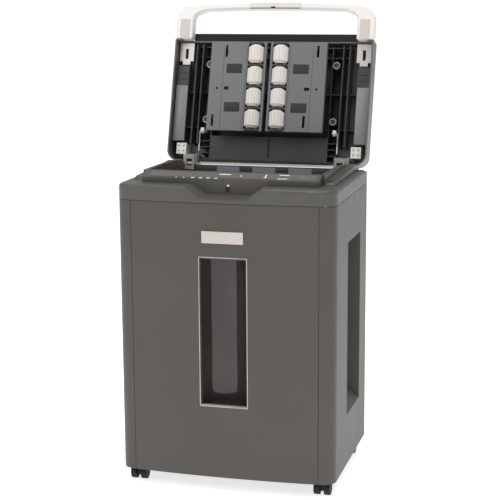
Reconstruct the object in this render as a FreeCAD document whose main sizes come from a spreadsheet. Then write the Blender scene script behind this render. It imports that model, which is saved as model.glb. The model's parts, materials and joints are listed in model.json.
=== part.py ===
import FreeCAD, Part
import math
import os
import re
import Sketcher

# Auto-feed paper shredder: a tall cabinet on casters, a pull-out bin with a window,
# a paper tray under an open lid, and a lid with two sprung plates of idler rollers.
# Millimetres. +X right, +Y back, +Z up, origin on the floor under the cabinet's centre.

V = FreeCAD.Vector
X_AXIS = V(1, 0, 0)
Y_AXIS = V(0, 1, 0)
Z_AXIS = V(0, 0, 1)

SIZES = {
    # cabinet
    "cabinet_width": 400, "cabinet_depth": 305, "cabinet_base": 28, "front_bow": 9.4,
    "corner_radius": 24, "rear_radius": 10, "rim_radius": 6, "wall": 3,
    "seam_level": 530, "shoulder_level": 558, "rear_ledge_level": 552, "rear_ledge_front": 126,
    "seam_gap": 0.8, "base_plate_level": 42, "base_plate_thick": 4, "skirt_height": 12,
    # hand recess in each side
    "recess_front": 40, "recess_back": 80, "recess_low": 123, "recess_high": 448,
    "recess_deep": 20, "recess_slope": 22, "recess_taper": 5,
    # paper tray deck
    "deck_half": 163, "deck_wide_half": 186, "deck_front": 121, "deck_front_level": 568,
    "deck_top_level": 576.5, "panel_back": 92, "well_half": 160, "well_front": 86,
    "well_back": 130.5, "well_floor": 516, "slot_half": 40, "slot_front": 74, "slot_back": 102,
    "deck_tail_level": 569, "deck_tail_start": 106, "deck_corner": 8, "cheek_half": 168,
    "shelf_front": 91.5, "deck_sunk": 17.5,
    # notch in the front rim
    "notch_top_half": 72, "notch_floor_half": 42, "notch_floor_level": 537, "notch_rise": 6.3,
    # control panel
    "overlay_left": 150, "overlay_right": 156, "overlay_width": 22, "overlay_thick": 0.6,
    "key_wide": 13, "key_long": 11, "key_tall": 1.1, "key_gap": 0.3, "key_well": 2.2,
    "power_x": 118, "forward_x": 90, "reverse_x": 57,
    # bin
    "door_half": 171.3, "bin_half": 150, "bin_back": 95, "bin_low": 50, "bin_high": 400,
    "bin_wall": 2.5, "window_half": 44, "window_low": 161.5, "window_high": 434,
    "pane_radius": 43.5, "pane_wall": 2, "flange": 3,
    "badge_long": 76, "badge_low": 459.5, "badge_high": 481, "badge_proud": 1.6,
    # lid: heights along the lid and depths behind its rim
    "hinge_back": 144.3, "hinge_level": 569.3, "lid_lean": 16.8,
    "rim_ahead": 10.25, "along_shift": 0.8, "lid_half": 199.4, "lid_low": -9, "lid_high": 236,
    "lid_deep": 48, "lid_corner": 22, "lid_edge": 13,
    "handle_inner_half": 165, "handle_outer": 311, "handle_inner": 297.5, "handle_thick": 22,
    "grip_half": 51, "rail_deep": 18, "rail_thick": 12, "rail_high": 251,
    "bracket_low": 188, "bracket_high": 234,
    # sprung plates and idler rollers
    "plate_inner": 4, "plate_outer": 115, "plate_low": 49, "plate_high": 224, "plate_proud": 25,
    "plate_thick": 2, "plate_flange": 9, "roller_x": 24.5, "roller_radius": 15, "roller_long": 37,
    "roller_first": 72, "roller_pitch": 42.5, "roller_level": 23, "axle_radius": 2,
    "axle_gap": 0.06,
    # cutter block
    "cutter_half": 15, "cutter_level": 462, "disc_radius": 18, "disc_thick": 3.4,
    "disc_pitch": 7.6, "disc_count": 23, "cutter_shaft": 8, "journal": 6, "journal_gap": 0.06,
    "plate_front_y": -80, "plate_rear_y": 112, "plate_gauge": 4,
    "feed_half": 25, "feed_level": 506, "feed_radius": 11.5, "feed_sleeve": 30, "feed_shaft": 4,
    "gear_module": 2, "sync_teeth": 15, "drive_teeth": 40, "pinion_teeth": 12, "gear_wide": 8,
    "motor_radius": 26, "motor_long": 120,
    # casters
    "caster_x": 174, "caster_front": -119, "caster_rear": 114, "caster_trail": 6,
    "wheel_radius": 13.3, "wheel_wide": 11, "wheel_gap": 8, "fork_disc": 15, "caster_axle": 2.5,
    "caster_stem": 5, "caster_gap": 0.06,
}

doc = FreeCAD.newDocument("paper_shredder")
sheet = doc.addObject("Spreadsheet::Sheet", "Sizes")
for row, (alias, number) in enumerate(SIZES.items(), start=1):
    sheet.set("A%d" % row, alias)
    sheet.set("B%d" % row, "=%s" % number)
    sheet.setAlias("B%d" % row, alias)
doc.recompute()

ALIAS = re.compile(r"\b(%s)\b" % "|".join(sorted(SIZES, key=len, reverse=True)))
parts = []


def size(alias):
    """The number in one cell of the sheet."""
    return float(sheet.get(alias))


def formula(text):
    """A formula written with bare aliases, as FreeCAD reads it."""
    return ALIAS.sub(r"Sizes.\1", str(text))


def bind(obj, **formulas):
    """Bind properties to formulas; a double underscore stands for a dot."""
    for name, text in formulas.items():
        obj.setExpression(name.replace("__", "."), formula(text))


def place(obj, x=0, y=0, z=0):
    """Bind an object's position to formulas."""
    bind(obj, Placement__Base__x=x, Placement__Base__y=y, Placement__Base__z=z)
    return obj


def box(x, y, z, long, deep, tall, name="Block"):
    """A box from its low corner and its three sizes."""
    block = doc.addObject("Part::Box", name)
    bind(block, Length=long, Width=deep, Height=tall)
    return place(block, x, y, z)


def rod(axis, x, y, z, radius, length, name="Rod"):
    """A cylinder that starts at a point and runs along a row axis."""
    bar = doc.addObject("Part::Cylinder", name)
    bind(bar, Radius=radius, Height=length)
    bar.Placement.Rotation = FreeCAD.Rotation(Z_AXIS, axis)
    return place(bar, x, y, z)


def joined(pieces, name="Joined"):
    """Several solids fused into one."""
    fused = doc.addObject("Part::MultiFuse", name)
    fused.Shapes = pieces
    return fused


def less(base, tools, name="Less"):
    """A solid with one or more others cut away."""
    result = doc.addObject("Part::Cut", name)
    result.Base = base
    result.Tool = tools[0] if len(tools) == 1 else joined(tools)
    return result


def shared(first, second, name="Shared"):
    """What two solids have in common."""
    result = doc.addObject("Part::Common", name)
    result.Base = first
    result.Tool = second
    return result


def rounded(base, radius, wanted, name="Rounded"):
    """A solid with the edges that pass a test rounded."""
    doc.recompute()
    result = doc.addObject("Part::Fillet", name)
    result.Base = base
    number = enumerate(base.Shape.Edges, start=1)
    result.Edges = [(i, radius, radius) for i, edge in number if wanted(edge)]
    return result


def keep(obj, label):
    """Name a finished sub-part and list it for writing."""
    obj.Label = label
    parts.append(obj)
    return obj


def on_lid(obj):
    """Lean a finished lid piece back about the hinge; lid pieces are modelled upright."""
    obj.Placement.Rotation = FreeCAD.Rotation(X_AXIS, -1)
    bind(obj, Placement__Rotation__Angle="-lid_lean")
    obj.Placement.Rotation = FreeCAD.Rotation(X_AXIS, -size("lid_lean"))
    return place(obj, 0, "hinge_back", "hinge_level")


def lid_y(proud):
    """Upright depth of a point that stands proud of the lid's rim plane."""
    return "(-rim_ahead - (%s))" % proud


def lid_z(along):
    """Upright height of a point that lies this far along the lid."""
    return "((%s) + along_shift)" % along


def is_vertical(edge):
    ends = edge.BoundBox
    return ends.ZLength > 10 and ends.XLength < 0.01 and ends.YLength < 0.01


# ---------------------------------------------------------------- PartDesign helpers

def new_body(name):
    return doc.addObject("PartDesign::Body", name)


def plane_of(body, role):
    return [f for f in body.Origin.OriginFeatures if f.Role == role][0]


def sketch_on(body, role, x=0, y=0, out=0):
    """A sketch on an origin plane, with its own corner moved by three formulas."""
    sketch = body.newObject("Sketcher::SketchObject", body.Name + "Sketch")
    sketch.AttachmentSupport = [(plane_of(body, role), "")]
    sketch.MapMode = "FlatFace"
    bind(sketch, AttachmentOffset__Base__x=x, AttachmentOffset__Base__y=y,
         AttachmentOffset__Base__z=out)
    return sketch


def hold(sketch, kind, refs, text):
    """A dimension bound to a formula."""
    index = sketch.addConstraint(Sketcher.Constraint(kind, *refs, 1.0))
    sketch.setExpression("Constraints[%d]" % index, formula(text))


def rectangle(sketch, wide, tall):
    """A bound rectangle that grows from the sketch's corner to the right and up."""
    corners = [V(0, 0, 0), V(1, 0, 0), V(1, 1, 0), V(0, 1, 0)]
    for i in range(4):
        sketch.addGeometry(Part.LineSegment(corners[i], corners[(i + 1) % 4]), False)
    for i in range(4):
        sketch.addConstraint(Sketcher.Constraint("Coincident", i, 2, (i + 1) % 4, 1))
        sketch.addConstraint(Sketcher.Constraint(("Horizontal", "Vertical")[i % 2], i))
    sketch.addConstraint(Sketcher.Constraint("Coincident", 0, 1, -1, 1))
    hold(sketch, "Distance", (0,), wide)
    hold(sketch, "Distance", (1,), tall)
    return sketch


def circle(sketch, radius):
    """A bound circle round the sketch's corner."""
    sketch.addGeometry(Part.Circle(V(0, 0, 0), Z_AXIS, 1), False)
    sketch.addConstraint(Sketcher.Constraint("Coincident", 0, 3, -1, 1))
    hold(sketch, "Radius", (0,), radius)
    return sketch


def outline(sketch, points):
    """A closed outline through points; a triple of points is an arc."""
    edges = []
    for start, end in zip(points, points[1:] + points[:1]):
        first = start[-1] if isinstance(start, list) else start
        last = end[0] if isinstance(end, list) else end
        if isinstance(start, list):
            (ax, ay), (bx, by), (cx, cy) = start
            clockwise = (bx - ax) * (cy - by) - (by - ay) * (cx - bx) < 0
            edges.append((Part.Arc(*[V(*p, 0) for p in start]), (2, 1) if clockwise else (1, 2)))
        edges.append((Part.LineSegment(V(*first, 0), V(*last, 0)), (1, 2)))
    for edge, ends in edges:
        sketch.addGeometry(edge, False)
    for i, (edge, ends) in enumerate(edges):
        after = (i + 1) % len(edges)
        joint = Sketcher.Constraint("Coincident", i, ends[1], after, edges[after][1][0])
        sketch.addConstraint(joint)
    return sketch


def pad(body, sketch, length, both_ways=False):
    feature = body.newObject("PartDesign::Pad", body.Name + "Pad")
    feature.Profile = sketch
    if both_ways:
        feature.Midplane = True
    bind(feature, Length=length)
    return feature


def pocket(body, sketch, length, backwards=False):
    """A pocket that must take material away."""
    before = body.Shape.Volume if body.Shape else 0
    feature = body.newObject("PartDesign::Pocket", body.Name + "Pocket")
    feature.Profile = sketch
    feature.Reversed = backwards
    bind(feature, Length=length)
    doc.recompute()
    if feature.Shape.Volume > before - 0.01:
        raise RuntimeError("pocket cuts nothing in " + body.Name)
    return feature


# ---------------------------------------------------------------- cabinet

def cabinet_form(inset, low, high, name):
    """The cabinet's plan, drawn in by an inset: straight sides and a gently bowed front."""
    tall = "(%s) - (%s)" % (high, low)
    slab = box("-cabinet_width / 2 + %s" % inset, "-cabinet_depth / 2 - front_bow", low,
               "cabinet_width - 2 * %s" % inset,
               "cabinet_depth + front_bow - %s" % inset, tall)
    bow = "((cabinet_width / 2) ^ 2 + front_bow ^ 2) / (2 * front_bow)"
    barrel = rod(Z_AXIS, 0, "%s - cabinet_depth / 2 - front_bow" % bow, low,
                 "%s - %s" % (bow, inset), tall)
    plan = shared(slab, barrel)
    front = rounded(plan, size("corner_radius") - size("wall") * (inset != "0"),
                    lambda edge: is_vertical(edge) and edge.CenterOfMass.y < 0)
    return rounded(front, size("rear_radius"),
                   lambda edge: is_vertical(edge) and edge.CenterOfMass.y > 150 - 2 * size("wall")
                   and abs(edge.CenterOfMass.x) > 150, name)


def cabinet():
    """Side panels, door skin and rear panel: slices of one shell."""
    outer = cabinet_form("0", "cabinet_base", "seam_level - seam_gap / 2", "CabinetOuter")
    inner = cabinet_form("wall", "cabinet_base - 10", "seam_level + 10", "CabinetInner")
    skin = less(outer, [inner], "CabinetSkin")
    for side, sign in (("left", -1), ("right", 1)):
        side_panel(skin, side, sign)
    rear = box("-cabinet_width / 2 + 26", "cabinet_depth / 2 - wall - 1", "cabinet_base",
               "cabinet_width - 52", 20, "seam_level")
    vents = [box("26 + %d * 11" % i, 100, 420, 5, 80, 62) for i in range(9)]
    inlet_hole = box(-134, 100, 61, 28, 80, 22)
    rocker_hole = box(-134, 100, 92, 28, 80, 15)
    keep(less(shared(skin, rear), [inlet_hole, rocker_hole] + vents), "rear_panel")
    return skin, inner


def side_panel(skin, side, sign):
    """One side with its rounded front corner and a sunk hand grip."""
    reach = "cabinet_width / 2 - door_half - seam_gap"
    start = "-cabinet_width / 2" if sign < 0 else "door_half + seam_gap"
    front = box(start, "-cabinet_depth / 2 - 20", "cabinet_base", reach,
                "cabinet_depth + 15", "seam_level")
    back = box("-cabinet_width / 2" if sign < 0 else "cabinet_width / 2 - 26", 100,
               "cabinet_base", 26, 80, "seam_level")
    panel = shared(skin, joined([front, back]))
    hollow = grip_wedge(sign, "0", 1)
    pan = shared(grip_wedge(sign, "2.5", 0), outside_limit(sign))
    keep(less(joined([panel, pan]), [hollow]), "side_panel_" + side)


def outside_limit(sign):
    """Everything inside the outer face of one side."""
    return box("-cabinet_width / 2" if sign < 0 else "0", -150, 0, "cabinet_width / 2", 300, 600)


def grip_wedge(sign, grow, past):
    """The grip's hollow: a box with a sloping bottom, grown by a wall's thickness."""
    wedge = doc.addObject("Part::Wedge", "Grip")
    wedge.Placement.Rotation = FreeCAD.Rotation(Z_AXIS, 90 * sign)
    low, high = ("-recess_back", "recess_front") if sign < 0 else ("-recess_front", "recess_back")
    taper = "recess_taper * 0.5"
    bind(wedge, Xmin="%s - %s" % (low, grow), Xmax="%s + %s" % (high, grow),
         Ymin=-past, Ymax="recess_deep + %s" % grow,
         Zmin="recess_low - %s" % grow, Zmax="recess_high + %s" % grow,
         X2min="%s - %s + %s" % (low, grow, taper), X2max="%s + %s - %s" % (high, grow, taper),
         Z2min="recess_low + recess_slope - %s" % grow,
         Z2max="recess_high - %s + %s" % (taper, grow))
    return place(wedge, "cabinet_width / 2 * %d" % sign, 0, 0)


def base_pan(inner):
    """Floor of the cabinet inside the panels: a plate with a skirt, holes for four stems."""
    body = new_body("BasePan")
    half = "cabinet_width / 2 - wall - 0.5"
    front = "cabinet_depth / 2 - wall - 1"
    plate = rectangle(sketch_on(body, "XY_Plane", "-(%s)" % half, "-(%s)" % front,
                                "base_plate_level - skirt_height"),
                      "2 * (%s)" % half, "2 * (%s)" % front)
    pad(body, plate, "base_plate_thick + skirt_height")
    doc.recompute()
    hollow = rectangle(sketch_on(body, "XY_Plane", "-(%s) + wall" % half, "-(%s) + wall" % front,
                                 "base_plate_level - skirt_height"),
                       "2 * (%s) - 2 * wall" % half, "2 * (%s) - 2 * wall" % front)
    pocket(body, hollow, "skirt_height", True)
    stems = [rod(Z_AXIS, "caster_x * %d" % sx, y, "cabinet_base", "caster_stem + caster_gap", 40)
             for sx in (-1, 1) for y in ("caster_front", "caster_rear")]
    keep(less(shared(body, inner), stems), "base_pan")


def top_housing():
    """The moulded ring above the door, with a notch in front and a lower ledge behind."""
    form = cabinet_form("0", "seam_level + seam_gap / 2", "shoulder_level", "HousingForm")
    top = size("shoulder_level")
    eased = rounded(form, size("rim_radius"), lambda edge: abs(edge.BoundBox.ZMin - top) < 0.01
                    and abs(edge.BoundBox.ZMax - top) < 0.01)
    inside = cabinet_form("wall", "cabinet_base", "seam_level + 60", "HousingInner")
    under = shared(inside, box(-300, "-deck_front + wall", "seam_level - 5", 600,
                               "rear_ledge_front + deck_front - 3 - wall",
                               "shoulder_level - seam_level + 5 - wall"))
    under_ledge = shared(inside, box(-300, 100, "seam_level - 5", 600, 100,
                                     "rear_ledge_level - seam_level + 5 - wall"))
    opening = box("-well_half - 3.5", "-well_front - 3.5", 0, "2 * well_half + 7",
                  "well_front + well_back + 6.5", 700)
    ledge = box(-300, "rear_ledge_front", "rear_ledge_level", 600, 100, 50)
    sink = rounded(box("-deck_half", "-deck_front", "shoulder_level - deck_sunk", "2 * deck_half",
                       "deck_front - well_front - 3", 50), size("deck_corner"), is_deck_corner)
    keep(less(eased, [under, under_ledge, opening, ledge, notch_form(), sink]), "top_housing")


def notch_form():
    """Trapezoid that cuts the finger notch, its floor rising towards the tray."""
    body = new_body("NotchForm")
    top, low = size("notch_top_half"), size("notch_floor_half")
    floor, rim = size("notch_floor_level"), size("shoulder_level") + 1
    over = top + (top - low) / (rim - 1 - floor) * 8
    sketch = sketch_on(body, "XZ_Plane")
    outline(sketch, [(-low, 0), (low, 0), (over, rim - floor + 7), (-over, rim - floor + 7)])
    pad(body, sketch, 48)
    body.Placement = FreeCAD.Placement(
        V(0, 3 - size("deck_front"), floor + 4.8),
        FreeCAD.Rotation(X_AXIS, size("notch_rise")))
    return shared(body, box(-200, "-deck_front - 60", 0, 400, 60, 700))


# ---------------------------------------------------------------- paper tray

def is_deck_corner(edge):
    """The two upright edges at the front corners of the deck."""
    return is_vertical(edge) and abs(edge.BoundBox.YMin + size("deck_front")) < 0.01 \
        and abs(edge.BoundBox.XMin) > size("deck_half") - 0.01


def side_cheek(body, sign):
    """One side of the tray: a wall beside the well and a lower shelf that rises to the back."""
    low, top = size("shoulder_level"), size("deck_top_level")
    tail, back = size("deck_tail_start"), size("well_back") + 2.5
    edge = [(back, low), (back, low + 1), (tail, size("deck_tail_level"))]
    start = "well_half" if sign > 0 else "-cheek_half"
    sketch = sketch_on(body, "YZ_Plane", 0, 0, start)
    front = -size("panel_back")
    outline(sketch, [(front, low)] + edge + [(tail - 30, top - 4), (0, top - 1), (front, top)])
    pad(body, sketch, "cheek_half - well_half")
    start = "cheek_half - 1" if sign > 0 else "-deck_wide_half"
    sketch = sketch_on(body, "YZ_Plane", 0, 0, start)
    front = -size("shelf_front")
    outline(sketch, [(front, low)] + edge + [(front + 8, low + 5.5), (front, low + 0.8)])
    pad(body, sketch, "deck_wide_half - cheek_half + 1")


def tray_deck():
    """Raised deck: sloping control panel, cheeks, and the well that holds the paper."""
    body = new_body("TrayDeck")
    low = size("shoulder_level") - size("deck_sunk")
    sketch = sketch_on(body, "YZ_Plane")
    outline(sketch, [(-size("deck_front"), low), (-size("well_front"), low),
                     (-size("well_front"), size("deck_top_level")),
                     (-size("panel_back"), size("deck_top_level")),
                     (-size("deck_front"), size("deck_front_level"))])
    pad(body, sketch, "2 * deck_half", True)
    side_cheek(body, -1)
    side_cheek(body, 1)
    pan = rectangle(sketch_on(body, "XY_Plane", "-deck_half", "-well_front - 3", "well_floor"),
                    "2 * deck_half", "well_front + well_back + 5.5")
    pad(body, pan, "shoulder_level - well_floor")
    doc.recompute()
    well = rectangle(sketch_on(body, "XY_Plane", "-well_half", "-well_front",
                               "well_floor + wall"),
                     "2 * well_half", "well_front + well_back")
    pocket(body, well, 100, True)
    slot = rectangle(sketch_on(body, "XY_Plane", "-slot_half", "-slot_front", "well_floor - 1"),
                     "2 * slot_half", "slot_front + slot_back")
    pocket(body, slot, 10, True)
    wells = [key_cut(x) for x in ("power_x", "forward_x", "reverse_x")]
    lens = rod(Y_AXIS, 0, "-deck_front - 1", "shoulder_level - 1.5", 2.2, 4)
    latch = box(-3.2, "-deck_front - 1", "shoulder_level - 12", 6.4, 5, 8)
    pits = [box(171, -84, "shoulder_level + 1.5", 8, 14, 20)]
    carved = less(body, wells + [lens, latch] + pits)
    keep(rounded(carved, size("deck_corner"), is_deck_corner), "tray_deck")
    keep(joined([rod(Y_AXIS, 0, "-deck_front - 0.8", "shoulder_level - 1.5", 2.2, 3.8),
                 rod(Y_AXIS, 0, "-deck_front - 1.1", "shoulder_level - 1.5", 1.6, 2)]),
         "status_lens")


def panel_pose():
    """Frame on the sloping panel: its middle line, with local Z square to the slope."""
    rise = size("deck_top_level") - size("deck_front_level")
    run = size("deck_front") - size("panel_back")
    angle = math.degrees(math.atan2(rise, run))
    middle = V(0, -(size("deck_front") + size("panel_back")) / 2,
               (size("deck_top_level") + size("deck_front_level")) / 2)
    return FreeCAD.Placement(middle, FreeCAD.Rotation(X_AXIS, angle))


def on_panel(obj):
    obj.Placement = panel_pose()
    return obj


def key_cut(x):
    """The well under one key, a little larger than the key."""
    hole = box("%s - key_wide / 2 - key_gap" % x, "-key_long / 2 - key_gap", "-key_well",
               "key_wide + 2 * key_gap", "key_long + 2 * key_gap", 10)
    return on_panel(joined([hole, box(x, 0, 0, 1, 1, 1)]))


def control_panel():
    """Membrane overlay and three flat keys on the slope, and the tray's rear guide strip."""
    sheet_body = box("-overlay_left", "-overlay_width / 2", 0, "overlay_left + overlay_right",
                     "overlay_width", "overlay_thick")
    holes = [box("%s - key_wide / 2 - key_gap" % x, "-key_long / 2 - key_gap", -1,
                 "key_wide + 2 * key_gap", "key_long + 2 * key_gap", 5)
             for x in ("power_x", "forward_x", "reverse_x")]
    keep(on_panel(less(sheet_body, holes)), "control_overlay")
    for name in ("power", "forward", "reverse"):
        x = name + "_x"
        cap = box("%s - key_wide / 2" % x, "-key_long / 2", "overlay_thick + 0.3 - key_tall",
                  "key_wide", "key_long", "key_tall")
        dome = rod(Z_AXIS, x, 0, "overlay_thick - key_tall - 0.5", 2.5, 1.5)
        keep(on_panel(joined([cap, dome])), "key_" + name)
    bars = [box("%g" % (72 * i - 23), "well_back - 1.6", 546, 46, 1.6, 9) for i in (-1, 0, 1)]
    bars.append(box(-137, "well_back - 0.8", 544, 274, 0.8, 12))
    keep(joined(bars), "tray_guide_strip")


def hinge_brackets():
    """Open frames on the rear ledge that carry the lid's hinge pins."""
    for side, sign in (("left", -1), ("right", 1)):
        middle = "151 * %d" % sign
        pieces = [box("%s - 14" % middle, "rear_ledge_front + 8", "rear_ledge_level", 28, 16, 2)]
        for offset in (-14, 11.5):
            pieces.append(box("%s + %g" % (middle, offset), "hinge_back - 8", "rear_ledge_level",
                              2.5, 14, 25))
        pieces.append(rod(X_AXIS, "%s - 14" % middle, "hinge_back", "hinge_level", 4, 28))
        yoke = box("%s - 14" % middle, "well_back + 4", "rear_ledge_level", 28, 1.7, 25)
        pieces.append(less(yoke, [box("%s - 9" % middle, "well_back + 2",
                                      "rear_ledge_level + 7", 18, 8, 12)]))
        start = "%s + %g" % (middle, -10.5 if sign > 0 else -8.5)
        front = box(start, "well_back - 6", "rear_ledge_level - 3", 19, 2.5, 28)
        pieces.append(less(front, [box(start + " + 3.5", "well_back - 8",
                                       "rear_ledge_level + 4", 12, 8, 14)]))
        for along in (" + 0", " + 16.5"):
            pieces.append(box(start + along, "well_back - 6", "shoulder_level + 1", 2.5, 11, 18))
        keep(joined(pieces), "hinge_bracket_" + side)


# ---------------------------------------------------------------- pull-out bin

def bin_parts(skin, inner):
    """Door panel with a window, the bin behind it, the curved pane and a blank badge."""
    window_tall = "window_high - window_low"
    gap = box("-window_half", -300, "window_low", "2 * window_half", 200, window_tall)
    door = shared(skin, box("-door_half", -300, 0, "2 * door_half", 200, 700))
    keep(less(door, [gap]), "bin_front_panel")
    form = shared(inner, box("-bin_half", -300, "bin_low", "2 * bin_half", "300 + bin_back",
                             "bin_high - bin_low"))
    hollow = box("-bin_half + bin_wall", -147, "bin_low + bin_wall", "2 * bin_half - 2 * bin_wall",
                 "147 + bin_back - bin_wall", 500)
    behind = box("-window_half - 6", -300, "window_low - 6", "2 * window_half + 12", 158, 600)
    keep(less(form, [hollow, behind]), "bin_tray")
    keep(window_pane(inner), "window_pane")
    blank = box("-badge_long / 2", "-cabinet_depth / 2 - front_bow - badge_proud", "badge_low",
                "badge_long", 6, "badge_high - badge_low")
    solid = cabinet_form("0", "cabinet_base", "seam_level", "BadgeSeat")
    keep(less(blank, [solid]), "badge_plate")


def window_pane(inner):
    """Clear pane that curves into the bin, closed above and below by flat ledges."""
    tall = "window_high - window_low - 4"
    middle = "-cabinet_depth / 2 - front_bow - 3.5"
    low = "window_low + 2"
    drum = rod(Z_AXIS, 0, middle, low, "pane_radius", tall)
    core = rod(Z_AXIS, 0, middle, "window_low + 4", "pane_radius - pane_wall",
               "window_high - window_low - 8")
    behind = box(-60, "-cabinet_depth / 2 - front_bow + 5", 0, 120, 100, 700)
    flange = less(shared(inner, box("-window_half - flange", -300, "window_low - flange",
                                    "2 * window_half + 2 * flange", 146,
                                    "window_high - window_low + 2 * flange")),
                  [box("-pane_radius + pane_wall", -200, "window_low + 4",
                       "2 * pane_radius - 2 * pane_wall", 90, "window_high - window_low - 8")])
    return less(joined([shared(drum, behind), flange]), [core])


# ---------------------------------------------------------------- lid

def lid_shell():
    """A deep tray that closes over the paper: soft back edges, square front."""
    outer = box("-lid_half", lid_y(0), lid_z("lid_low"), "2 * lid_half", "lid_deep",
                "lid_high - lid_low")
    low = size("lid_low") + size("along_shift")
    soft = rounded(outer, size("lid_corner"), lambda e: e.BoundBox.YLength > 40
                   and abs(e.BoundBox.ZMin - low) < 0.01)
    back = size("lid_deep") - size("rim_ahead")
    soft = rounded(soft, size("lid_edge"), lambda e: e.BoundBox.YMin > back - 0.01
                   and e.BoundBox.ZMin < 200)
    inner = box("-lid_half + wall", lid_y(1), lid_z("lid_low + wall"), "2 * lid_half - 2 * wall",
                "lid_deep + 1 - wall", "lid_high - lid_low - 2 * wall")
    hollow = rounded(inner, size("lid_corner") - size("wall"), lambda e: e.BoundBox.YLength > 40
                     and e.BoundBox.ZMin < 0)
    hollow = rounded(hollow, size("lid_edge") - size("wall"),
                     lambda e: e.BoundBox.YMin > back - size("wall") - 0.01
                     and e.BoundBox.ZMin < 200)
    front_gap = box("-deck_wide_half - 1", lid_y(1), lid_z("lid_high - 10"),
                    "2 * deck_wide_half + 2", "rail_deep + 1", 20)
    knuckles = []
    bores = []
    for sign in (-1, 1):
        knuckles.append(box("151 * %d - 10" % sign, 0, -8, 20, "lid_deep - rim_ahead - wall", 16))
        knuckles.append(rod(X_AXIS, "151 * %d - 10" % sign, 0, 0, 8, 20))
        bores.append(rod(X_AXIS, "151 * %d - 11" % sign, 0, 0, "4 + axle_gap", 22))
    gaps = [box("151 * %d - 16" % sign, lid_y(1), lid_z("lid_low - 1"), 32, 24, "wall + 1.5")
            for sign in (-1, 1)]
    shell = less(soft, [hollow, front_gap] + gaps)
    keep(on_lid(less(joined([shell] + knuckles), bores)), "lid_shell")


def lid_ribs():
    """Moulded ribs, side fins and lower panel inside the lid, with four guide bosses."""
    pieces = []
    for x, proud, start in ((118, -22, 6), (141.5, -6, 28), (154, -6, 28)):
        for sign in (-1, 1):
            pieces.append(box(x * sign - 1, lid_y(proud), lid_z(start), 2,
                              "lid_deep - wall + (%d)" % proud, 226 - start))
    for along, reach in ((62, 171), (132, 171), (204, 155), (224, 155)):
        pieces.append(box(-reach, lid_y(-26), lid_z(along), 2 * reach, "lid_deep - wall - 26", 2))
    pieces.append(box(-119, lid_y(-20), lid_z(-2), 238, 2, 48))
    pieces.append(box(-119, lid_y(-20), lid_z(44), 238, "lid_deep - wall - 20", 2))
    pieces.append(box(-1, lid_y(-16), lid_z(6), 2, "lid_deep - wall - 16", 40))
    for sign in (-1, 1):
        pieces.append(box("182.5 * %d - 12.5" % sign, lid_y(-14), lid_z(33), 25, 1.6, 152))
        pieces.append(box("171 * %d - 1" % sign, lid_y(-14), lid_z(33), 2,
                          "lid_deep - wall - 14", 152))
        for along in (77, 187.5):
            pieces.append(rod(Y_AXIS, 127.5 * sign, lid_y(-12), lid_z(along), 8,
                              "lid_deep - wall - 12"))
            pieces.append(box("130 * %d - 12" % sign, lid_y(-26), lid_z(along - 1), 24,
                              "lid_deep - wall - 26", 2))
        for along in (10, 22, 34):
            pieces.append(box("127 * %d - 9" % sign, lid_y(-16), lid_z(along), 18,
                              "lid_deep - wall - 16", 1.5))
        for along in (146, 158, 170):
            pieces.append(box("180 * %d - 8" % sign, lid_y(-12.4), lid_z(along), 16, 2, 1.6))
    keep(on_lid(joined(pieces)), "lid_ribs")


def lid_front():
    """Black front rail, white handle loop with its grip, strips and brackets."""
    rail = joined([box("-handle_inner_half", lid_y("-rail_deep"), lid_z("lid_high"),
                       "2 * handle_inner_half", "rail_thick", "rail_high - lid_high"),
                   box("-handle_inner_half", lid_y("-rail_deep"), lid_z("lid_high"),
                       "2 * handle_inner_half", "lid_deep - rail_deep - 6", 4)])
    keep(on_lid(rail), "lid_front_rail")
    keep(on_lid(handle_loop()), "handle")
    grip = joined([box("-grip_half", lid_y(1.2), lid_z("handle_inner + 1"), "2 * grip_half", 1.2, 10),
                   box(-8, lid_y(2.6), lid_z("handle_inner + 3"), 9, 1.4, 3)])
    keep(on_lid(grip), "handle_grip")
    for side, sign in (("left", -1), ("right", 1)):
        strip = joined([box("181 * %d - 10" % sign, lid_y(0.5), lid_z("lid_high + 2"), 20, 0.5, 38),
                        rod(Y_AXIS, "181 * %d" % sign, lid_y(0.8), lid_z("lid_high + 9"), 3, 0.6)])
        keep(on_lid(strip), "handle_strip_" + side)
        slotted = less(box("179.5 * %d - 14.5" % sign, lid_y("-rail_deep - 1.8"),
                           lid_z("bracket_low"), 29, 1.8, "bracket_high - bracket_low - 2"),
                       [box("179.5 * %d - 3" % sign, -50, lid_z("bracket_low + 12"), 6, 100, 20),
                        box("179.5 * %d - 15" % sign, -50, lid_z("bracket_low - 1"), 7, 100, 8),
                        box("179.5 * %d + 8" % sign, -50, lid_z("bracket_low - 1"), 7, 100, 8)])
        feet = [box("179.5 * %d + %g" % (sign, off), lid_y("-rail_deep - 1.8"), lid_z("bracket_low + 12"),
                    2, "lid_deep - rail_deep - 1.8 - wall", 18) for off in (-6, 4)]
        keep(on_lid(joined([slotted] + feet)), "handle_bracket_" + side)


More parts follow.
